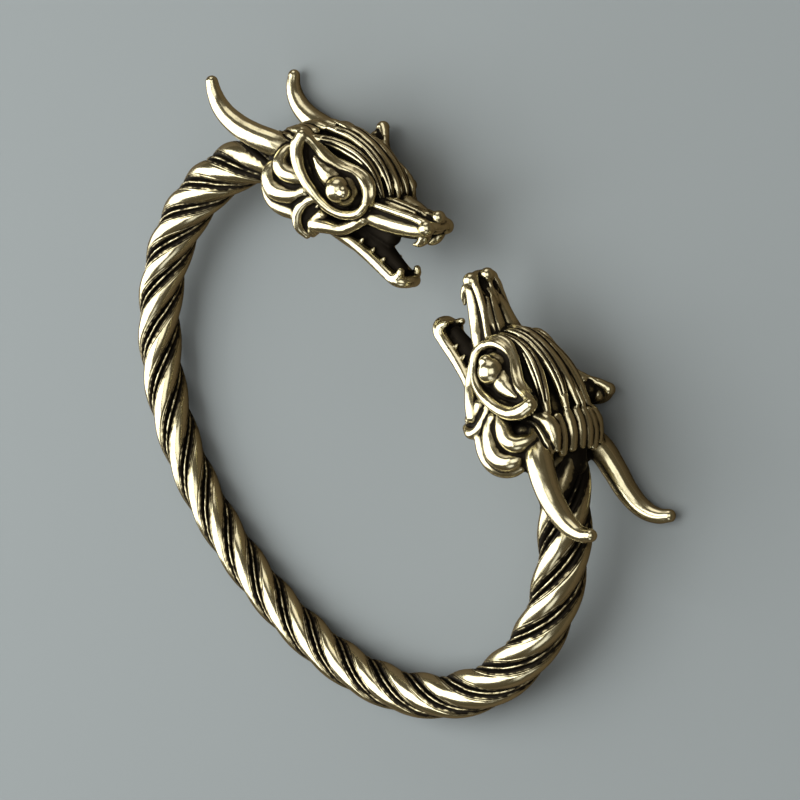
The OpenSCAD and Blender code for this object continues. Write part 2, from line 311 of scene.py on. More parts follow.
for line_number, (share, cut) in enumerate(SCORED_LINES):
    on_line = on_scored_line(share)
    fading = ebb(height[on_line], 3 * lobe_number[on_line] + line_number)
    column_radius[on_line] -= cut * fading
print("points on scored lines:", sum(int(on_scored_line(share).sum()) for share, cut in SCORED_LINES))

# %% Wires and grooves made uneven
GROOVE_SHARE = 0.13
GROOVE_ROUGHNESS = 0.05
ROUGH_WAVES = (5.3, 2.9)
rough = np.sin(height * ROUGH_WAVES[0] + 2 * lobe_number) * np.sin(height * ROUGH_WAVES[1] + lobe_number)
in_groove = (share_in_lobe < GROOVE_SHARE) | (share_in_lobe > 1 - GROOVE_SHARE)
column_radius += np.where(in_groove, GROOVE_ROUGHNESS * rough, 0)
print("share of the points in the grooves:", in_groove.mean().round(2))

# %% Column bent along the oval, thicker towards the heads
angle_here = np.interp(height, hoop_lengths, hoop_angles)
neck_share = (1 - np.sin(angle_here)) / (1 - math.sin(math.radians(NECK_ANGLE)))
column_radius += (ROPE_NECK_THICKNESS - ROPE_BACK_THICKNESS) / 2 * neck_share
SMALL_ANGLE = 0.01
ahead = oval(angle_here + SMALL_ANGLE) - oval(angle_here - SMALL_ANGLE)
ahead /= np.linalg.norm(ahead, axis=1)[:, None]
out = np.stack([ahead[:, 1], -ahead[:, 0], 0 * height], axis=1)
up = np.array([[0, 0, 1.0]])
lobe_turn = -column_angle - math.radians(TWIST_START)
bent = oval(angle_here) + (column_radius * np.cos(lobe_turn))[:, None] * out
bent += (column_radius * np.sin(lobe_turn))[:, None] * up
move_points(hoop, bent)
outward(hoop)

# %% Ends of the hoop closed
bpy.ops.object.mode_set(mode="EDIT")
bpy.ops.mesh.select_all(action="DESELECT")
bpy.ops.mesh.select_mode(type="EDGE")
bpy.ops.mesh.select_non_manifold()
bpy.ops.mesh.fill_holes(sides=0)
bpy.ops.object.mode_set(mode="OBJECT")
outward(hoop)
print("hoop closed, triangles:", sum(len(f.vertices) - 2 for f in hoop.data.polygons))

# %% [markdown]
# ## Strokes for the heads
#
# A wax carver builds such a head from rolled threads of wax, laid on a core and pressed together. The
# same works here. `strand` lays a smooth round thread through a few points, each with a thickness, and
# gives it round ends. The points are in the head's own frame, in millimetres: forward to the snout, up
# over the brow, and out to the side. Only the near half of a head is laid, and the Mirror modifier gives
# the other half.


# %% Threads and balls of wax
def ball(place, thickness):
    """Round lump."""
    bpy.ops.object.select_all(action="DESELECT")
    bpy.ops.mesh.primitive_ico_sphere_add(subdivisions=4, radius=thickness / 2, location=place)
    bpy.ops.object.transform_apply(location=True, rotation=False, scale=False)
    return bpy.context.object


def strand(rows):
    """Round thread through rows of [forward, up, out, thickness], with round ends."""
    bpy.ops.object.select_all(action="DESELECT")
    bpy.ops.curve.primitive_bezier_curve_add()
    thread = bpy.context.object
    line = thread.data.splines[0]
    line.bezier_points.add(len(rows) - 2)
    for point, row in zip(line.bezier_points, rows):
        point.co = row[:3]
        point.radius = row[3]
        point.handle_left_type = "AUTO"
        point.handle_right_type = "AUTO"
    thread.data.dimensions = "3D"
    thread.data.resolution_u = 8
    thread.data.bevel_depth = 0.5
    thread.data.bevel_resolution = 6
    thread.data.use_fill_caps = True
    bpy.ops.object.convert(target="MESH")
    ends = [ball(row[:3], row[3]) for row in (rows[0], rows[-1])]
    return joined([thread] + ends, "strand")


# %% [markdown]
# ## The core of a head
#
# Under the carving lies a plain core: a skull, the upper jaw that rises to the snout, and the level lower
# jaw. Each could be a stack of circles bridged together. A sphere is quicker, because it is closed and
# rounded at both ends already: it is stretched over a short table of sections, and a power below one
# makes its section boxier, as the real head is. The core stays a little inside the real surface, so that
# the furrows between the threads on it are deep and take the patina.


# %% Sphere shaped over a table of sections
END_ROUNDING = 0.22


def shaped(rows, square, name):
    """Closed form over rows of [forward, bottom, top, half width, height of the widest place]."""
    bpy.ops.object.select_all(action="DESELECT")
    bpy.ops.mesh.primitive_uv_sphere_add(segments=64, ring_count=40, radius=1)
    form = bpy.context.object
    form.name = name
    unit = points_of(form)
    table = np.array(rows, float)
    forward = table[0, 0] + (table[-1, 0] - table[0, 0]) * (1 + unit[:, 2]) / 2
    around = np.arctan2(unit[:, 1], unit[:, 0])
    closing = np.clip(1 - unit[:, 2] ** 2, 0, 1) ** END_ROUNDING
    bottom, top, half, middle = (np.interp(forward, table[:, 0], table[:, k]) for k in (1, 2, 3, 4))
    rise = np.sin(around)
    side = np.cos(around)
    height_here = np.where(rise > 0, top - middle, middle - bottom)
    upward = middle + closing * height_here * np.sign(rise) * np.abs(rise) ** square
    sideways = closing * half * np.sign(side) * np.abs(side) ** square
    move_points(form, np.stack([forward, upward, sideways], axis=1))
    return outward(form)


# %% Skull, upper jaw and lower jaw
# Rows of [forward, bottom, top, half width, height of the widest place]
SKULL = [
    [0.2, 0.9, 6.0, 3.0, 4.0],
    [1.5, 0.2, 7.2, 3.8, 4.0],
    [4.0, 0.0, 8.8, 4.3, 4.0],
    [7.0, 0.0, 9.5, 3.9, 4.4],
    [9.9, 0.6, 10.0, 3.6, 5.2],
    [12.5, 1.9, 10.1, 3.3, 6.1],
    [14.7, 3.9, 9.7, 3.0, 6.8],
    [16.6, 5.6, 8.8, 2.4, 7.4],
]
SNOUT = [
    [11.8, 5.4, 8.6, 3.2, 7.0],
    [14.0, 5.8, 8.7, 3.2, 7.2],
    [15.4, 6.2, 8.8, 2.9, 7.5],
    [17.4, 7.2, 9.4, 2.2, 8.4],
    [18.9, 8.0, 10.2, 1.8, 9.1],
    [20.0, 8.8, 10.6, 1.7, 9.6],
    [21.3, 9.3, 11.0, 1.7, 10.1],
    [22.2, 9.8, 10.9, 1.5, 10.4],
]
JAW = [
    [8.0, -0.2, 3.4, 4.0, 1.6],
    [10.5, 0.3, 3.2, 3.6, 1.8],
    [12.8, 1.0, 3.0, 3.2, 2.0],
    [15.8, 1.7, 2.7, 2.4, 2.2],
    [18.9, 2.0, 2.6, 1.9, 2.3],
    [21.3, 2.3, 2.8, 1.7, 2.6],
    [22.5, 2.7, 3.1, 1.5, 2.9],
]
SQUARE = 0.68
core = [shaped(SKULL, SQUARE, "skull"), shaped(SNOUT, SQUARE, "snout")]
core.append(shaped(JAW, SQUARE, "jaw"))
print("core of the head:", [(p.name, [round(v, 1) for v in p.dimensions]) for p in core])

# %% [markdown]
# ## Hair
#
# The hair lies over the skull in long locks, like the leaves of a palm. Each lock starts in a point at
# the brow, is thickest over the crown, and ends against the collar. Two locks on each side and one along
# the middle are enough, because fine lines are scored into them later.

# %% Locks of hair
# Rows of [forward, up, out, thickness]
HAIR_INNER = [
    [15.5, 8.9, 0.8, 0.4],
    [14.6, 9.8, 0.9, 0.7],
    [12.7, 10.6, 0.85, 1.1],
    [10.8, 10.8, 0.8, 1.3],
    [8.7, 10.7, 0.85, 1.35],
    [6.4, 10.2, 1.0, 1.25],
    [4.1, 9.2, 1.3, 0.8],
]
HAIR_OUTER = [
    [15.4, 8.5, 1.8, 0.4],
    [14.6, 9.3, 2.0, 0.7],
    [12.4, 10.1, 2.0, 1.2],
    [10.4, 10.2, 2.1, 1.5],
    [8.6, 9.95, 2.4, 1.6],
    [6.6, 9.3, 2.8, 1.4],
    [4.4, 8.2, 3.2, 0.9],
]
HAIR_MIDDLE = [
    [15.7, 9.0, 0, 0.4],
    [14.7, 10.0, 0, 0.7],
    [12.7, 10.8, 0, 0.9],
    [9.0, 11.0, 0, 1.1],
    [6.3, 10.5, 0, 1.0],
    [3.8, 9.6, 0, 0.5],
]
half = [strand(HAIR_INNER), strand(HAIR_OUTER)]
whole = [strand(HAIR_MIDDLE)]
print("locks of hair in a head:", 2 * len(half) + len(whole))

# %% [markdown]
# ## Eyes and ears
#
# Two rims enclose each eye like a leaf. The lower one is the bolder, and it ends behind in a thick,
# turned-up tip, which is the ear. A brow line follows the upper rim. Inside lies a dark hollow with the
# ball of the eye, and a bright pointed plate fills the corner towards the ear. The rims stand well off
# the skull, so each gets a second thread under it, as a wall, and the hollow gets a floor.

# %% Rims of the eye, up to the tip of the ear
# Rows of [forward, up, out, thickness]
LOWER_RIM = [
    [5.0, 9.4, 6.25, 1.5],
    [5.3, 8.2, 6.5, 1.65],
    [6.2, 7.0, 6.45, 1.5],
    [7.7, 6.15, 6.4, 1.25],
    [9.5, 5.6, 6.1, 1.2],
    [11.1, 5.15, 5.5, 1.15],
    [12.6, 5.2, 4.9, 1.1],
    [13.9, 5.8, 4.4, 1.05],
    [14.8, 6.9, 4.0, 1.0],
    [14.8, 8.0, 3.7, 0.9],
]
UPPER_RIM = [
    [5.2, 9.5, 6.1, 1.2],
    [6.0, 9.4, 5.7, 1.05],
    [7.0, 9.0, 5.2, 0.95],
    [8.1, 8.7, 4.8, 0.95],
    [9.6, 8.8, 4.1, 0.95],
    [11.3, 9.3, 3.5, 1.0],
    [13.0, 9.4, 3.4, 1.05],
    [14.2, 8.7, 3.5, 1.0],
    [14.8, 7.5, 3.7, 0.9],
]
BROW_LINE = [
    [6.6, 9.5, 5.2, 0.5],
    [7.6, 9.2, 4.6, 0.7],
    [8.7, 9.1, 4.1, 0.7],
    [10.0, 9.4, 3.5, 0.7],
    [11.6, 9.9, 3.1, 0.75],
    [13.2, 9.95, 2.95, 0.8],
    [14.4, 9.3, 3.1, 0.75],
    [15.0, 8.2, 3.2, 0.6],
]


EYE_THREADS = (LOWER_RIM, UPPER_RIM, BROW_LINE)
half += [strand(rows) for rows in EYE_THREADS]
print("rims and brow lines round an eye:", len(EYE_THREADS))


# %% Walls under the rims
def beside(rows, inward, share=1.0):
    """Rows of a thread beside another, moved by [forward, up, out], with a share of its thickness."""
    return [[row[k] + inward[k] for k in range(3)] + [row[3] * share] for row in rows]


# Rows of [rim, move by forward, up and out, share of the rim's thickness]
RIM_WALLS = [
    [LOWER_RIM[1:], (0.1, 0.15, -0.9), 0.95],
    [LOWER_RIM[2:], (0.3, 0.1, -1.8), 1.2],
    [UPPER_RIM[2:], (0, 0, -0.8), 0.9],
]
half += [strand(beside(rim, inward, share)) for rim, inward, share in RIM_WALLS]
print("walls under the rims of an eye:", len(RIM_WALLS))

# %% Ball of the eye, the hollow's floor and the plate in its corner
EYE = Vector((11.6, 7.4, 4.85))
EYE_SIZE = 2.9
EYE_SEAT = EYE + Vector((0.2, -0.15, -1.25))
EYE_SEAT_SIZE = 3.8
PUPIL = EYE + Vector((1.0, 0.5, 0.35))
PUPIL_SIZE = 1.5
half += [ball(EYE, EYE_SIZE), ball(EYE_SEAT, EYE_SEAT_SIZE), ball(PUPIL, PUPIL_SIZE)]
# Rows of [forward, up, out, thickness]
HOLLOW_FLOOR = [
    [6.2, 8.3, 4.6, 2.0],
    [8.0, 7.5, 4.2, 2.2],
    [10.0, 7.3, 3.6, 2.4],
    [13.0, 7.3, 3.0, 2.4],
]
CORNER_PLATE = [
    [7.3, 8.15, 5.5, 0.5],
    [8.2, 7.8, 5.1, 1.55],
    [9.2, 7.5, 4.65, 2.4],
    [10.3, 7.4, 4.15, 2.8],
]
half += [strand(HOLLOW_FLOOR), strand(CORNER_PLATE)]
print("ball of the eye", EYE_SIZE, "mm across, threads so far:", len(half))

# %% [markdown]
# ## Cheeks
#
# Behind the jaw lie three thick curls, each starting under the rim and turned up at its end. In front of
# them a band bends like a C round the hinge of the jaw. From the hinge, which is a rounded bulb, a smooth
# bar rises to the root of the snout, and in the groove between band and hinge lies a thin ring.

# %% Curls of the cheek
# Rows of [forward, up, out, thickness]
CURL_TOP = [
    [7.2, 5.2, 5.4, 1.55],
    [6.3, 4.7, 5.7, 1.95],
    [5.2, 4.3, 5.8, 2.15],
    [4.2, 4.5, 5.8, 2.05],
    [3.6, 5.3, 5.3, 1.75],
    [3.5, 5.9, 4.8, 1.35],
    [4.0, 6.3, 4.5, 0.95],
]
CURL_MIDDLE = [
    [8.1, 4.1, 5.1, 1.55],
    [7.4, 3.0, 5.4, 1.95],
    [6.5, 2.3, 5.7, 2.15],
    [5.3, 1.8, 5.8, 2.35],
    [4.1, 2.0, 5.8, 2.25],
    [3.3, 2.8, 5.5, 1.95],
    [3.2, 3.5, 5.1, 1.45],
    [3.5, 4.0, 4.8, 1.05],
]
CURL_LOW = [
    [8.3, 1.1, 4.8, 1.8],
    [6.8, 0.5, 5.1, 2.0],
    [5.3, 0.3, 5.2, 2.0],
    [4.0, 0.8, 5.2, 1.9],
    [3.0, 1.7, 5.1, 1.6],
    [2.5, 2.6, 4.9, 1.2],
]
CHEEK = [
    [2.4, 3.4, 3.6, 3.0],
    [4.6, 3.8, 4.0, 4.0],
    [7.4, 3.2, 4.1, 3.8],
    [9.4, 2.6, 3.5, 2.8],
]
half += [strand(rows) for rows in (CURL_TOP, CURL_MIDDLE, CURL_LOW, CHEEK)]
print("threads on half a head with the cheek:", len(half))

# %% Band round the hinge, ring, hinge and bar
# Rows of [forward, up, out, thickness]
C_BAND = [
    [9.9, 4.7, 4.7, 0.8],
    [9.1, 3.6, 5.0, 1.15],
    [8.8, 2.3, 5.2, 1.25],
    [9.0, 1.1, 5.1, 1.25],
    [9.7, 0.2, 4.8, 1.2],
    [10.7, -0.1, 4.3, 0.9],
]
HINGE_RING = [
    [10.2, 4.0, 4.4, 0.35],
    [9.8, 2.4, 4.6, 0.35],
    [9.9, 1.0, 4.5, 0.35],
    [10.5, 0.4, 4.2, 0.35],
]
HINGE = [
    [10.9, 3.0, 4.0, 1.5],
    [10.7, 1.9, 4.1, 1.6],
    [10.9, 0.9, 4.0, 1.5],
]
BAR = [
    [10.8, 1.6, 4.1, 1.9],
    [11.5, 2.1, 4.1, 1.8],
    [12.5, 2.7, 3.8, 1.65],
    [13.5, 3.3, 3.4, 1.45],
    [14.4, 4.6, 3.2, 1.35],
    [15.1, 6.1, 3.1, 1.4],
]
HINGE_BED = [
    [9.4, 3.6, 3.4, 1.8],
    [9.5, 2.0, 3.6, 2.0],
    [10.4, 0.9, 3.3, 1.6],
]
BAND_WALL_INWARD = (0, 0.1, -0.9)
half += [strand(rows) for rows in (C_BAND, HINGE_RING, HINGE, BAR, HINGE_BED)]
half.append(strand(beside(C_BAND, BAND_WALL_INWARD)))
print("threads on half a head with the hinge:", len(half))

# %% Ball in the middle of the top curl
CURL_HEART = (4.6, 5.3, 4.4)
CURL_HEART_SIZE = 2.2
half.append(ball(CURL_HEART, CURL_HEART_SIZE))
print("ball in the top curl:", CURL_HEART_SIZE, "mm across")

# %% [markdown]
# ## Snout and teeth
#
# A broad band runs along each side of the snout, and a narrower rim above it goes round the tip, where
# three knobs stand. A smooth plate lies between the rims and ends in two dark nostrils. Hooked canine
# teeth stand at the corners, and small teeth stand in rows in the dark of the mouth. The throat is closed
# by three thick threads behind the teeth.

# %% Bands, rim and plate of the snout
# Rows of [forward, up, out, thickness]
SNOUT_BAND = [
    [14.8, 6.5, 2.7, 1.7],
    [16.5, 7.1, 1.9, 2.2],
    [18.4, 8.0, 1.25, 2.2],
    [20.3, 9.2, 1.05, 1.9],
    [21.3, 10.0, 1.2, 1.6],
]
SNOUT_RIM = [
    [15.4, 8.3, 2.6, 0.8],
    [17.5, 9.2, 1.95, 0.75],
    [19.5, 10.2, 1.7, 0.8],
    [20.9, 10.8, 1.6, 0.85],
    [21.7, 10.95, 1.0, 0.9],
    [21.9, 10.9, 0.0, 0.9],
]
SNOUT_PLATE = [
    [14.8, 8.0, 1.2, 1.8],
    [16.4, 8.7, 1.05, 2.3],
    [18.0, 9.4, 0.8, 2.1],
    [19.2, 10.0, 0.6, 1.5],
    [20.3, 10.3, 0.7, 1.2],
]
SNOUT_RIDGE = [
    [18.2, 10.0, 0, 0.7],
    [20.0, 10.9, 0, 0.55],
    [21.2, 11.4, 0, 0.8],
]
SNOUT_SIDE = (SNOUT_BAND, SNOUT_RIM, SNOUT_PLATE)
half += [strand(rows) for rows in SNOUT_SIDE]
whole.append(strand(SNOUT_RIDGE))
print("threads along the snout:", 2 * len(SNOUT_SIDE) + 1)

# %% Knobs at the tip of the snout
CORNER_KNOB = (21.5, 10.5, 1.5)
CORNER_KNOB_SIZE = 1.75
NOSE_KNOB = (21.1, 11.5, 0)
NOSE_KNOB_SIZE = 1.6
half.append(ball(CORNER_KNOB, CORNER_KNOB_SIZE))
whole.append(ball(NOSE_KNOB, NOSE_KNOB_SIZE))
print("knobs:", CORNER_KNOB_SIZE, "and", NOSE_KNOB_SIZE, "mm across")

# %% Canine teeth and the edge of the lower jaw
# Rows of [forward, up, out, thickness]
UPPER_HOOK = [
    [21.3, 10.0, 1.1, 1.5],
    [21.6, 9.1, 1.05, 1.3],
    [21.4, 8.2, 1.0, 0.9],
    [20.9, 7.6, 1.0, 0.4],
]
JAW_EDGE = [
    [12.6, 2.2, 3.1, 1.0],
    [14.6, 2.5, 2.4, 1.3],
    [16.6, 2.6, 1.85, 1.4],
    [18.6, 2.65, 1.5, 1.4],
    [20.4, 2.75, 1.35, 1.35],
    [21.7, 3.0, 1.25, 1.35],
    [22.3, 3.3, 0.7, 1.3],
    [22.4, 3.4, 0.0, 1.3],
]
LOWER_HOOK = [
    [21.4, 3.2, 1.4, 1.2],
    [21.6, 3.8, 1.35, 1.0],
    [21.4, 4.2, 1.3, 0.8],
]
half += [strand(rows) for rows in (UPPER_HOOK, JAW_EDGE, LOWER_HOOK)]
print("canine teeth stand", round(UPPER_HOOK[-1][1] - LOWER_HOOK[-1][1], 1), "mm apart")

# %% Throat
# Each thread is rows of [forward, up, out, thickness]
THROAT = [
    [[11.5, 3.0, 0, 4.0], [16.0, 3.3, 0, 2.6], [20.4, 3.6, 0, 1.5]],
    [[11.5, 4.6, 0, 4.0], [14.8, 4.8, 0, 2.8], [17.4, 5.3, 0, 2.0]],
    [[11.5, 5.2, 0, 4.0], [15.5, 6.0, 0, 3.0], [18.3, 7.4, 0, 2.1], [20.5, 8.7, 0, 1.5]],
]
whole += [strand(rows) for rows in THROAT]
print("threads across the throat:", len(THROAT))

# %% Small teeth
SMALL_TEETH = [15.6, 17.2, 18.8]
TOOTH = 0.8
TOOTH_HEIGHT = 0.6
TOOTH_ROOT = 3.0
TOOTH_INSET = 0.2
UPPER_AHEAD = 0.5


def table_at(rows, forward, column):
    """Value of one column of a table at a place forward."""
    return float(np.interp(forward, [row[0] for row in rows], [row[column] for row in rows]))


def tooth(forward, root, tip, out):
    """Tapered tooth from its root to its tip, two heights."""
    return strand([[forward, root, out, TOOTH], [forward, tip, out, TOOTH / 2]])


for forward in SMALL_TEETH:
    out_here = table_at(JAW_EDGE, forward, 2) - TOOTH_INSET
    roof = table_at(SNOUT, forward + UPPER_AHEAD, 1)
    half.append(tooth(forward, TOOTH_ROOT, TOOTH_ROOT + TOOTH_HEIGHT, out_here))
    half.append(tooth(forward + UPPER_AHEAD, roof, roof - TOOTH_HEIGHT, out_here))
print("teeth in a head:", 4 * (1 + len(SMALL_TEETH)))

# %% [markdown]
# ## Horns and collar
#
# A smooth horn sweeps back from each cheek and turns up at its tip. Over the nape lies a collar of broad
# ribs, side by side, like a piece of cloth in folds. Its low edge lies on the rope, and a curled leaf on
# each shoulder covers its end.

# %% Horn and shoulder leaves
# Rows of [forward, up, out, thickness]
HORN = [
    [3.0, 5.2, 3.7, 2.9],
    [1.0, 4.7, 4.9, 2.9],
    [-1.3, 3.9, 5.5, 2.7],
    [-4.0, 3.2, 5.7, 2.45],
    [-6.4, 3.2, 5.9, 2.1],
    [-8.1, 3.9, 6.1, 1.7],
    [-9.0, 4.8, 6.35, 1.4],
]
SHOULDER_LEAF = [
    [5.5, 6.0, 4.0, 1.0],
    [4.4, 6.4, 3.9, 1.5],
    [3.1, 6.3, 3.9, 1.6],
    [2.0, 6.1, 4.0, 1.4],
    [1.1, 6.0, 4.0, 0.6],
]
SHOULDER_RIB = [
    [5.0, 7.4, 3.8, 0.9],
    [3.9, 7.8, 3.5, 1.5],
    [2.8, 7.6, 3.4, 1.6],
    [1.8, 7.0, 3.4, 1.2],
    [1.0, 6.4, 3.4, 0.6],
]
half += [strand(rows) for rows in (HORN, SHOULDER_LEAF, SHOULDER_RIB)]
print("horn from", HORN[0][3], "to", HORN[-1][3], "mm thick")

# %% Ribs of the collar
# Rows of [forward, up, out, thickness]
MIDDLE_RIB = [
    [0.9, 6.6, 0, 1.1],
    [1.8, 7.7, 0, 1.25],
    [2.7, 8.4, 0, 1.25],
    [3.6, 8.9, 0, 1.0],
]
# Rows of [how much lower, how far out]
SIDE_RIBS = [[0.15, 1.25], [0.6, 2.45]]


def rib(lower, out):
    """A rib of the collar beside the middle one, lower and farther out."""
    return beside(MIDDLE_RIB, (0, -lower, out))


NAPE_BED = [[0.4, 4.4, 0, 3.0], [2.2, 5.6, 0, 3.6], [4.4, 6.6, 0, 4.0]]
half += [strand(rib(lower, out)) for lower, out in SIDE_RIBS]
whole += [strand(MIDDLE_RIB), strand(NAPE_BED)]
print("ribs of the collar:", 2 * len(SIDE_RIBS) + 1)

# %% [markdown]
# ## One skin for a head
#
# The threads only lie on each other. The half is mirrored, everything is joined, and a voxel remesh gives
# it one skin, as melting the wax a little would. A light smoothing takes the steps of the voxels away,
# and loose shells left in hollows inside are thrown away.

# %% Head skinned
VOXEL = 0.13
near_half = joined(half, "near_half")
finish_with(near_half, "MIRROR", use_axis=(False, False, True), use_mirror_merge=False)
head = joined([near_half] + core + whole, "dragon_head_right")
finish_with(head, "REMESH", mode="VOXEL", voxel_size=VOXEL, use_smooth_shade=True)
finish_with(head, "SMOOTH", factor=0.5, iterations=2)
only(head)
bpy.ops.object.mode_set(mode="EDIT")
bpy.ops.mesh.select_all(action="SELECT")
bpy.ops.mesh.separate(type="LOOSE")
bpy.ops.object.mode_set(mode="OBJECT")
shells = sorted(bpy.context.selected_objects, key=lambda shell: len(shell.data.vertices))
head = shells.pop()
head.name = "dragon_head_right"
print("shells thrown away:", [len(shell.data.vertices) for shell in shells])
if shells:
    only(*shells)
    bpy.ops.object.delete()
outward(head)
print("head has", len(head.data.vertices), "points")

# %% [markdown]
# ## Scored lines and creases
#
# After the casting is cleaned, a graver scores fine lines along the locks, the horns and the snout, and a
# broader tool opens the creases. A line lies on the surface of its thread, at an angle from the direction
# that points straight out of the head. All points of the skin near a line are pressed in, most in its
# middle. A search tree of the lines' points finds the nearest one quickly.


# %% Lines on the threads, and the tool that presses them in
def curve_through(rows, steps=30):
    """Many rows on a smooth curve through a few."""
    table = np.array(rows, float)
    table = np.vstack([2 * table[0] - table[1], table, 2 * table[-1] - table[-2]])
    points = []
    for a, b, c, d in zip(table[:-3], table[1:-2], table[2:-1], table[3:]):
        for s in np.arange(steps) / steps:
            bend = (2 * a - 5 * b + 4 * c - d) * s**2 + (3 * b - a - 3 * c + d) * s**3
            points.append(0.5 * (2 * b + (c - a) * s + bend))
    return np.array(points + [table[-2]])


HEAD_MIDDLE = 5


def line_on(rows, angle, first=0.0, last=1.0):
    """Line along a thread's surface, at an angle from straight out of the head, on a part of its length."""
    curve = curve_through(rows)
    curve = curve[int(first * len(curve)) : int(last * len(curve))]
    along = np.gradient(curve[:, :3], axis=0)
    along /= np.linalg.norm(along, axis=1)[:, None]
    straight_out = curve[:, :3] * [0, 1, 1] - [0, HEAD_MIDDLE, 0]
    straight_out -= np.sum(straight_out * along, axis=1)[:, None] * along
    straight_out /= np.linalg.norm(straight_out, axis=1)[:, None]
    across = np.cross(along, straight_out)
    return curve[:, :3] + curve[:, 3:] / 2 * (math.cos(angle) * straight_out + math.sin(angle) * across)


def normals_of(piece):
    """All directions in which the skin faces, one row each."""
    flat = np.empty(len(piece.data.vertices) * 3)
    piece.data.vertices.foreach_get("normal", flat)
    return flat.reshape(-1, 3)


def search_tree(places):
    """Tree that finds the nearest of many places quickly."""
    finder = KDTree(len(places))
    for number, place in enumerate(places):
        finder.insert(place, number)
    finder.balance()
    return finder


def folded(places):
    """Places of both sides of the head laid over each other on the near side."""
    return np.column_stack([places[:, :2], np.abs(places[:, 2])])


def pressed_in(piece, lines, width, depth):
    """Presses the skin in along lines, on both sides of the head. Gives each point's share of the depth."""
    finder = search_tree(np.concatenate(lines))
    places = points_of(piece)
    away = np.array([finder.find(place)[2] for place in folded(places)])
    share = np.clip(1 - (away / width) ** 2, 0, 1) ** 2
    move_points(piece, places - depth * share[:, None] * normals_of(piece))
    return share


# %% Fine lines
fine_lines = [line_on(HAIR_INNER, angle, 0.08, 0.92) for angle in (-0.55, 0.45)]
fine_lines += [line_on(HAIR_OUTER, angle, 0.08, 0.92) for angle in (-0.75, 0.15)]
fine_lines += [line_on(HORN, -1.0, 0.15, 0.86), line_on(SHOULDER_LEAF, 0.2, 0.15, 0.85)]
fine_lines.append(line_on(SNOUT_PLATE, 0.3, 0.1, 0.9))
fine_share = pressed_in(head, fine_lines, width=0.24, depth=0.13)
print("points in fine lines:", int((fine_share > 0).sum()))

# %% Creases, each through points [forward, up, out] on the skin
CREASES = [
    [[6.6, 8.6, 4.2], [7.6, 8.6, 3.6], [8.8, 9.3, 3.2], [10.2, 9.8, 2.8], [11.6, 10.1, 2.6]],
    [[19.3, 10.5, 0.85], [20.2, 10.9, 0.85], [20.8, 11.1, 0.85]],
]
crease_share = pressed_in(head, [curve_through(points) for points in CREASES], width=0.45, depth=0.35)
print("points in creases:", int((crease_share > 0).sum()))

# %% [markdown]
# ## Hollows and high places, kept on the mesh
#
# Patina stays where a polishing wheel can't reach. How deep a point lies is its distance under a smoothed
# copy of the surface, and two smoothings, a short and a long one, see the fine lines and the large
# hollows. The scored lines and the creases are dark with patina as well, and the inside of the mouth
# gets patina and painted shade. The result, with this painted shade in it, is written on the points as
# one number from 0, deepest, to 1, proudest, for the material.


# %% Relief of each point
def neighbour_means(piece):
    """Function that replaces a value at each point by the mean over its neighbours."""
    count = len(piece.data.vertices)
    pairs = np.empty(len(piece.data.edges) * 2, int)
    piece.data.edges.foreach_get("vertices", pairs)
    pairs = pairs.reshape(-1, 2)
    first = np.concatenate([pairs[:, 0], pairs[:, 1]])
    second = np.concatenate([pairs[:, 1], pairs[:, 0]])
    uses = np.bincount(first, minlength=count)

    def means(values):
        columns = [np.bincount(first, values[second, k], minlength=count) for k in range(values.shape[1])]
        return np.stack(columns, axis=1) / np.maximum(uses, 1)[:, None]

    return means


FLAT_RELIEF = 0.5
FINE_PULL = 0.5
BROAD_PULL = 0.8


def relief_of(piece, fine_rounds, broad_rounds, fine_gain, broad_gain):
    """Relief at each point of a piece: 0.5 where the skin is flat, more where it stands proud."""
    places = points_of(piece)
    normals = normals_of(piece)
    means = neighbour_means(piece)
    smoothed = places
    for _ in range(fine_rounds):
        smoothed = (1 - FINE_PULL) * smoothed + FINE_PULL * means(smoothed)
    fine = np.sum((places - smoothed) * normals, axis=1)
    for _ in range(broad_rounds):
        smoothed = (1 - BROAD_PULL) * smoothed + BROAD_PULL * means(smoothed)
    broad = np.sum((places - smoothed) * normals, axis=1)
    return FLAT_RELIEF + fine_gain * fine + broad_gain * broad


# %% Inside of the mouth
# Rows of [forward, floor, roof, half width]
MOUTH = [
    [12.5, 2.8, 5.0, 2.9],
    [15.4, 2.8, 6.3, 2.2],
    [18.4, 2.9, 7.6, 1.5],
    [21.0, 3.2, 8.8, 1.1],
]
MOUTH_START = 12
MOUTH_END = 21.4
BELOW_FLOOR = 0.3
ABOVE_ROOF = 0.5
MOUTH_FADE = 0.6


def in_mouth(places):
    """Share of 1 deep between the jaws, which fades towards the sides."""
    table = np.array(MOUTH)
    forward, upward, sideways = places[:, 0], places[:, 1], np.abs(places[:, 2])
    floor_here, roof_here, half_here = (np.interp(forward, table[:, 0], table[:, k]) for k in (1, 2, 3))
    between = (forward > MOUTH_START) & (forward < MOUTH_END)
    between &= (upward > floor_here - BELOW_FLOOR) & (upward < roof_here + ABOVE_ROOF)
    return np.where(between, np.clip((half_here - sideways) / MOUTH_FADE, 0, 1), 0)


# %% Beds under the carving, which the polish never reaches
def skin_of_thread(places, rows, depth=0.25):
    """Share of 1 where the skin is that of this thread, on both sides of the head."""
    samples = curve_through(rows)
    finder = search_tree(samples[:, :3])
    found = [finder.find(place) for place in folded(places)]
    over = np.array([distance - samples[number, 3] / 2 for _, number, distance in found])
    return np.clip(1 - over / depth, 0, 1)


EYE_GROOVE_AWAY = 0.3
EYE_GROOVE_HALF = 0.35
EYE_GROOVE_TOP = EYE_SEAT.z + 1.2


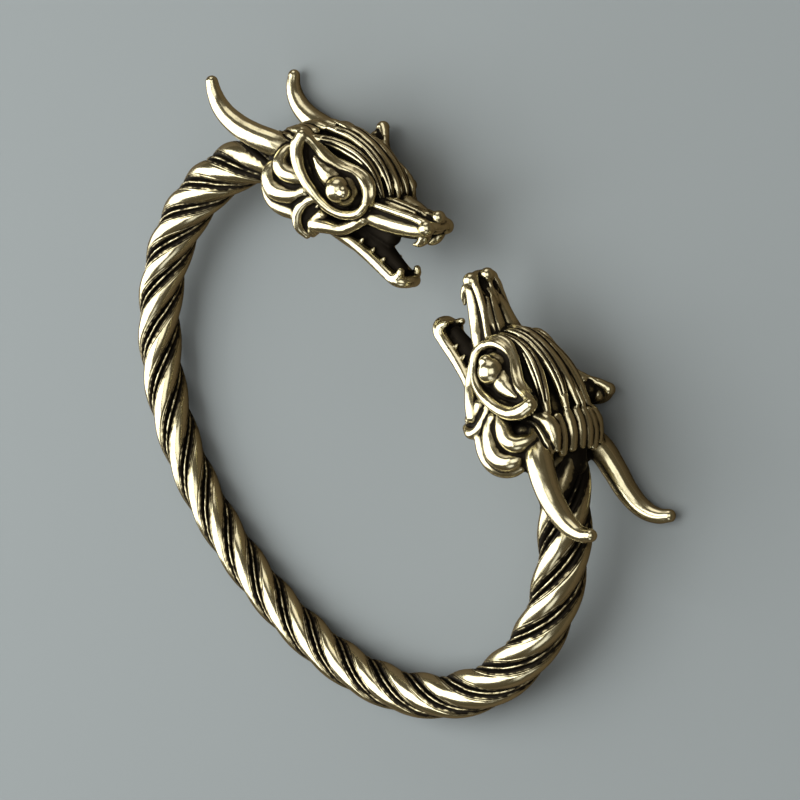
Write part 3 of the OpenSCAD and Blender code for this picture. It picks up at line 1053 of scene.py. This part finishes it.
def eye_ring(places):
    """Share of 1 in the groove round the seat of the eye."""
    near_side = folded(places)
    away = np.linalg.norm(near_side - np.array(EYE_SEAT), axis=1) - EYE_SEAT_SIZE / 2
    in_ring = np.clip(1 - np.abs(away - EYE_GROOVE_AWAY) / EYE_GROOVE_HALF, 0, 1)
    return in_ring * (near_side[:, 2] < EYE_GROOVE_TOP)


head_places = points_of(head)
BEDS = [HOLLOW_FLOOR, HINGE_BED, CHEEK, NAPE_BED] + THROAT
unpolished = np.max([skin_of_thread(head_places, rows) for rows in BEDS], axis=0)
unpolished = np.maximum(unpolished, eye_ring(head_places))
print("share of the skin that stays unpolished:", unpolished.mean().round(3))

# %% Relief of a head, with painted shade in the mouth
FINE_LINE_DARK = 0.45
CREASE_DARK = 0.6
BED_DARK = 0.5
# Inside the mouth the skin gets patina and painted shade, for the dark of the deep mouth
MOUTH_PATINA_AND_SHADE = 0.8
head_relief = relief_of(head, fine_rounds=6, broad_rounds=40, fine_gain=9.0, broad_gain=1.5)
head_relief -= (
    FINE_LINE_DARK * fine_share
    + CREASE_DARK * crease_share
    + BED_DARK * unpolished
    + MOUTH_PATINA_AND_SHADE * in_mouth(head_places)
)
head_relief = np.clip(head_relief, 0, 1)
print("share of the head with a relief under 0.3:", (head_relief < 0.3).mean().round(2))
print("share of the head with a relief over 0.7:", (head_relief > 0.7).mean().round(2))


# %% Skin of the head thinned out, with the relief and its painted shade kept on it
def keep_relief(piece, relief):
    """Writes the relief, with any painted shade in it, on the points of a piece."""
    kept = piece.data.attributes.new("relief", "FLOAT", "POINT")
    kept.data.foreach_set("value", relief.astype(np.float32))


FACES_KEPT = 0.6
dense = search_tree(points_of(head))
finish_with(head, "DECIMATE", ratio=FACES_KEPT)
nearest = [dense.find(place)[1] for place in points_of(head)]
keep_relief(head, head_relief[nearest])
print("head has", sum(len(f.vertices) - 2 for f in head.data.polygons), "triangles")

# %% Relief of the hoop, straight from the depth in its section
CROWN_RELIEF = 0.82
RELIEF_PER_MM = 1.6
WIRE_SHARE = 0.055
WIRE_RELIEF = 0.50
WIRE_UNEVEN = 0.3
FLANK_UNEVEN = 0.12
FLANK_DEPTH = 0.12


def relief_at(depth):
    """Relief at a depth under the crown of a lobe."""
    return CROWN_RELIEF - RELIEF_PER_MM * depth


crown_radius = (ROPE_NECK_THICKNESS - ROPE_BACK_THICKNESS) / 2 * neck_share + ROPE_BACK_THICKNESS / 2
hoop_depth_here = crown_radius - column_radius
hoop_relief = np.clip(relief_at(hoop_depth_here), 0, 1)
on_wire = (share_in_lobe < WIRE_SHARE) | (share_in_lobe > 1 - WIRE_SHARE)
hoop_relief = np.where(on_wire, WIRE_RELIEF + WIRE_UNEVEN * rough, hoop_relief)
print("share of the hoop on its wires:", on_wire.mean().round(2))

# %% Dark patina in the scored lines, and painted shade close to the heads
LINE_DARK_FROM = 0.2
LINE_DARK = 2.2
LINE_DARK_MOST = 0.35
# Painted shade on the rope near each head, where the collar shades it: its length and how dark
HEAD_SHADE_LENGTH = 13
HEAD_SHADE = 0.4
for share, cut in SCORED_LINES:
    on_line = on_scored_line(share)
    deeper = (relief_at(LINE_DARK_FROM) - hoop_relief[on_line]).clip(0, LINE_DARK_MOST)
    hoop_relief[on_line] -= LINE_DARK * deeper
shaded_near_head = np.clip(1 - np.minimum(height, HOOP_LENGTH - height) / HEAD_SHADE_LENGTH, 0, 1)
hoop_relief -= HEAD_SHADE * shaded_near_head + FLANK_UNEVEN * rough * (hoop_depth_here > FLANK_DEPTH)
keep_relief(hoop, np.clip(hoop_relief, 0, 1))
print("hoop relief from", round(float(hoop_relief.min()), 2), "to", round(float(hoop_relief.max()), 2))

# %% [markdown]
# ## Patina and polish
#
# One finish covers the ring: brass, with a dark patina in the hollows. Two shader groups make it. The
# first turns relief, and how open a place is, into the share of patina, broken up by noise, as it flakes
# on a real casting. How open a place is comes from ambient occlusion, by the other pieces and the floor
# too, so it adds painted shade. The second gives the fine unevenness of a cast and tumbled surface.


# %% Helpers for shader groups
def group_with(name, inputs, outputs):
    """New shader group with float sockets by name."""
    group = bpy.data.node_groups.new(name, "ShaderNodeTree")
    for socket, value in inputs.items():
        made = group.interface.new_socket(socket, in_out="INPUT", socket_type="NodeSocketFloat")
        made.default_value = value
    for socket in outputs:
        group.interface.new_socket(socket, in_out="OUTPUT", socket_type="NodeSocketFloat")
    start = group.nodes.new("NodeGroupInput")
    end = group.nodes.new("NodeGroupOutput")
    return group, start, end


def node(tree, kind, **settings):
    """Adds a node and gives it its settings."""
    made = tree.nodes.new(kind)
    for name, value in settings.items():
        setattr(made, name, value)
    return made


# %% Patina, with painted shade from occlusion
FLAKE_REACH = 0.5


def patina_group():
    """Share of patina from relief and from occlusion, which adds painted shade, with flaking edges."""
    group, start, end = group_with(
        "patina", {"Relief_and_shade": 0.5, "Unshaded": 1.0, "Level": 0.5, "Softness": 0.2}, ["Share"]
    )
    link = group.links.new
    place = node(group, "ShaderNodeTexCoord")
    flakes = node(group, "ShaderNodeTexNoise")
    flakes.inputs["Scale"].default_value = 900
    flakes.inputs["Detail"].default_value = 4
    flakes.inputs["Roughness"].default_value = 0.6
    link(place.outputs["Object"], flakes.inputs["Vector"])
    uneven = node(group, "ShaderNodeMath", operation="MULTIPLY_ADD")
    uneven.inputs[1].default_value = FLAKE_REACH
    uneven.inputs[2].default_value = -FLAKE_REACH / 2
    link(flakes.outputs[0], uneven.inputs[0])
    open_relief = node(group, "ShaderNodeMath", operation="MULTIPLY")
    link(start.outputs["Relief_and_shade"], open_relief.inputs[0])
    link(start.outputs["Unshaded"], open_relief.inputs[1])
    total = node(group, "ShaderNodeMath", operation="ADD")
    link(open_relief.outputs[0], total.inputs[0])
    link(uneven.outputs[0], total.inputs[1])
    low = node(group, "ShaderNodeMath", operation="SUBTRACT")
    link(start.outputs["Level"], low.inputs[0])
    link(start.outputs["Softness"], low.inputs[1])
    high = node(group, "ShaderNodeMath", operation="ADD")
    link(start.outputs["Level"], high.inputs[0])
    link(start.outputs["Softness"], high.inputs[1])
    share = node(group, "ShaderNodeMapRange", interpolation_type="SMOOTHSTEP")
    share.inputs["To Min"].default_value = 1.0
    share.inputs["To Max"].default_value = 0.0
    link(total.outputs[0], share.inputs["Value"])
    link(low.outputs[0], share.inputs["From Min"])
    link(high.outputs[0], share.inputs["From Max"])
    link(share.outputs[0], end.inputs["Share"])
    return group


PATINA = patina_group()
print("shader group:", PATINA.name)


# %% Unevenness of a casting
def casting_group():
    """Height of shallow dents with a fine grain over them."""
    group, start, end = group_with("cast_skin", {"Dents": 0.6, "Grain": 0.3}, ["Height"])
    link = group.links.new
    place = node(group, "ShaderNodeTexCoord")
    dents = node(group, "ShaderNodeTexNoise")
    dents.inputs["Scale"].default_value = 520
    dents.inputs["Detail"].default_value = 2
    grain = node(group, "ShaderNodeTexNoise")
    grain.inputs["Scale"].default_value = 2600
    grain.inputs["Detail"].default_value = 3
    link(place.outputs["Object"], dents.inputs["Vector"])
    link(place.outputs["Object"], grain.inputs["Vector"])
    large = node(group, "ShaderNodeMath", operation="MULTIPLY")
    link(dents.outputs[0], large.inputs[0])
    link(start.outputs["Dents"], large.inputs[1])
    total = node(group, "ShaderNodeMath", operation="MULTIPLY_ADD")
    link(grain.outputs[0], total.inputs[0])
    link(start.outputs["Grain"], total.inputs[1])
    link(large.outputs[0], total.inputs[2])
    link(total.outputs[0], end.inputs["Height"])
    return group


CAST_SKIN = casting_group()
print("shader group:", CAST_SKIN.name)

# %% [markdown]
# ## Antiqued brass
#
# Three layers of colour: bright, pale brass on the high places, an olive film over the flanks, and
# brown-black patina in the hollows. The patina scatters more than the polished metal and is a little less
# metallic. Each layer could be a shader of its own, mixed with the next. One Principled shader with mixed
# values is simpler, and its values can be baked.

# %% The ring's material
POLISHED = (0.93, 0.86, 0.58, 1)
FILM = (0.42, 0.345, 0.18, 1)
DARK = (0.016, 0.012, 0.007, 1)
POLISHED_ROUGHNESS = 0.20
FILM_ROUGHER_BY = 0.15
CRUST_ROUGHER_BY = 0.32
CRUST_LESS_METALLIC_BY = 0.2
# Reach of the ambient occlusion that darkens the patina as painted shade, near the floor as well
OCCLUSION_SHADE_REACH = 2.2
DENT_DEPTH = 0.05


def antiqued_brass():
    """Brass with a film and a crust of patina, laid by the relief on the mesh, with painted shade from
    occlusion over it.
    """
    material = bpy.data.materials.new("antiqued_brass")
    material.use_nodes = True
    tree = material.node_tree
    link = tree.links.new
    metal = tree.nodes["Principled BSDF"]
    relief = node(tree, "ShaderNodeAttribute", attribute_name="relief")
    # Ambient occlusion, by the ring and the floor alike: painted shade in the patina
    occlusion_shade = node(tree, "ShaderNodeAmbientOcclusion", samples=8)
    occlusion_shade.inputs["Distance"].default_value = OCCLUSION_SHADE_REACH * MM
    film = node(tree, "ShaderNodeGroup", node_tree=PATINA)
    film.inputs["Level"].default_value = 0.50
    film.inputs["Softness"].default_value = 0.20
    crust = node(tree, "ShaderNodeGroup", node_tree=PATINA)
    crust.inputs["Level"].default_value = 0.37
    crust.inputs["Softness"].default_value = 0.08
    for layer in (film, crust):
        link(relief.outputs["Fac"], layer.inputs["Relief_and_shade"])
        link(occlusion_shade.outputs["AO"], layer.inputs["Unshaded"])
    filmed = node(tree, "ShaderNodeMix", data_type="RGBA")
    filmed.inputs[6].default_value = POLISHED
    filmed.inputs[7].default_value = FILM
    link(film.outputs["Share"], filmed.inputs[0])
    coloured = node(tree, "ShaderNodeMix", data_type="RGBA")
    coloured.inputs[7].default_value = DARK
    link(crust.outputs["Share"], coloured.inputs[0])
    link(filmed.outputs[2], coloured.inputs[6])
    link(coloured.outputs[2], metal.inputs["Base Color"])
    rough_film = node(tree, "ShaderNodeMath", operation="MULTIPLY_ADD")
    rough_film.inputs[1].default_value = FILM_ROUGHER_BY
    rough_film.inputs[2].default_value = POLISHED_ROUGHNESS
    link(film.outputs["Share"], rough_film.inputs[0])
    rough_all = node(tree, "ShaderNodeMath", operation="MULTIPLY_ADD")
    rough_all.inputs[1].default_value = CRUST_ROUGHER_BY
    link(crust.outputs["Share"], rough_all.inputs[0])
    link(rough_film.outputs[0], rough_all.inputs[2])
    link(rough_all.outputs[0], metal.inputs["Roughness"])
    metallic = node(tree, "ShaderNodeMath", operation="MULTIPLY_ADD")
    metallic.inputs[1].default_value = -CRUST_LESS_METALLIC_BY
    metallic.inputs[2].default_value = 1.0
    link(crust.outputs["Share"], metallic.inputs[0])
    link(metallic.outputs[0], metal.inputs["Metallic"])
    skin = node(tree, "ShaderNodeGroup", node_tree=CAST_SKIN)
    bump = node(tree, "ShaderNodeBump")
    bump.inputs["Strength"].default_value = 0.35
    bump.inputs["Distance"].default_value = DENT_DEPTH * MM
    link(skin.outputs["Height"], bump.inputs["Height"])
    link(bump.outputs["Normal"], metal.inputs["Normal"])
    return material


BRASS = antiqued_brass()
for piece in (hoop, head):
    piece.data.materials.clear()
    piece.data.materials.append(BRASS)
print("material:", BRASS.name)

# %% [markdown]
# ## Pieces in their places
#
# The head goes to the end of the hoop, turned half round, and its copy is mirrored to the other end. Then
# all three are tilted to rest and scaled to metres. The places are put into the meshes, so that each
# object sits at the origin, and a mirrored mesh gets its faces turned outwards again.

# %% Heads on the hoop, and the ring at rest
NECK = Vector((25.5, -14.99, 0))
only(head)
bpy.ops.object.duplicate()
other_head = bpy.context.object
other_head.name = "dragon_head_left"
head_place = Matrix.Translation(NECK) @ Matrix.Rotation(math.pi, 4, "Z")
mirror_over = Matrix.Scale(-1, 4, (1, 0, 0))
for piece, place in ((hoop, Matrix()), (head, head_place), (other_head, mirror_over @ head_place)):
    piece.data.transform(to_frame @ place)
    piece.data.update()
    piece.matrix_world = Matrix()
    outward(piece)
    only(piece)
    bpy.ops.object.shade_smooth()
    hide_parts("arm_ring")
    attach(piece, "root")

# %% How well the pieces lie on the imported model
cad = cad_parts["arm_ring"]
packed_skin = BVHTree.FromPolygons(
    [v.co for v in cad.data.vertices], [p.vertices[:] for p in cad.data.polygons]
)
SAMPLES = 2000
for piece in (hoop, head, other_head):
    sample = points_of(piece)[:: max(1, len(piece.data.vertices) // SAMPLES)]
    away = np.array([packed_skin.find_nearest(place)[3] for place in sample]) / MM
    print(piece.name, "is off the model by", away.mean().round(2), "mm, at most", away.max().round(2))

# %% [markdown]
# ## Floor and light
#
# A plain pale floor and large soft lights, as for a shop's photograph. Metal shows what it reflects, so
# the main light is a wide one high over the ring, and the world behind is dim and brown. For the same
# reason the paper is darker and browner in reflections than it looks itself: a Light Path node tells the
# two apart.

# %% Floor
PAPER = (0.33, 0.37, 0.39, 1)
PAPER_IN_METAL = (0.09, 0.065, 0.035, 1)
PAPER_SIZE = 6
PAPER_BELOW = 0.05
bpy.ops.object.select_all(action="DESELECT")
bpy.ops.mesh.primitive_plane_add(size=PAPER_SIZE, location=(0, 0, -PAPER_BELOW * MM))
floor = bpy.context.object
floor.name = "floor"
paper = bpy.data.materials.new("pale_paper")
paper.use_nodes = True
paper_shader = paper.node_tree.nodes["Principled BSDF"]
ray = node(paper.node_tree, "ShaderNodeLightPath")
paper_colour = node(paper.node_tree, "ShaderNodeMix", data_type="RGBA")
paper_colour.inputs[6].default_value = PAPER
paper_colour.inputs[7].default_value = PAPER_IN_METAL
paper.node_tree.links.new(ray.outputs["Is Glossy Ray"], paper_colour.inputs[0])
paper.node_tree.links.new(paper_colour.outputs[2], paper_shader.inputs["Base Color"])
paper_shader.inputs["Roughness"].default_value = 0.9
floor.data.materials.append(paper)
print("floor:", PAPER_SIZE, "m wide,", PAPER_BELOW, "mm under the ring")


# %% Lights
def soft_light(name, angles, distance, size, brightness, colour):
    """Square light at angles round and over the ring, turned to its middle, with its face's brightness."""
    side, over = (math.radians(a) for a in angles)
    direction = Vector((math.sin(side) * math.cos(over), -math.cos(side) * math.cos(over), math.sin(over)))
    bpy.ops.object.light_add(type="AREA", location=direction * distance)
    light = bpy.context.object
    light.name = name
    light.rotation_euler = direction.to_track_quat("Z", "Y").to_euler()
    light.data.size = size
    light.data.energy = brightness * math.pi * size**2
    light.data.color = colour
    return light


# Rows of [name, angles round and over, distance in m, size in m, brightness, colour]
LIGHTS = [
    ["window", (132, 66), 0.5, 0.55, 2.3, (1.0, 1.0, 0.97)],
    ["low window", (135, 22), 0.5, 0.38, 2.3, (1.0, 1.0, 0.97)],
    ["front", (-35, 58), 0.6, 0.42, 1.2, (1.0, 0.98, 0.95)],
    ["upper side", (45, 20), 0.6, 0.35, 1.0, (1.0, 0.96, 0.90)],
    ["rim", (-120, 35), 0.7, 0.3, 0.9, (0.95, 0.97, 1.0)],
]
for row in LIGHTS:
    print("light:", soft_light(*row).name)

# %% Dim brown surroundings
SURROUNDINGS = (0.07, 0.058, 0.038, 1)
world = bpy.data.worlds.new("studio")
bpy.context.scene.world = world
world.use_nodes = True
world.node_tree.nodes["Background"].inputs["Color"].default_value = SURROUNDINGS
world.node_tree.nodes["Background"].inputs["Strength"].default_value = 1.0
bpy.context.scene.view_settings.view_transform = "Standard"
print("surroundings:", SURROUNDINGS[:3])
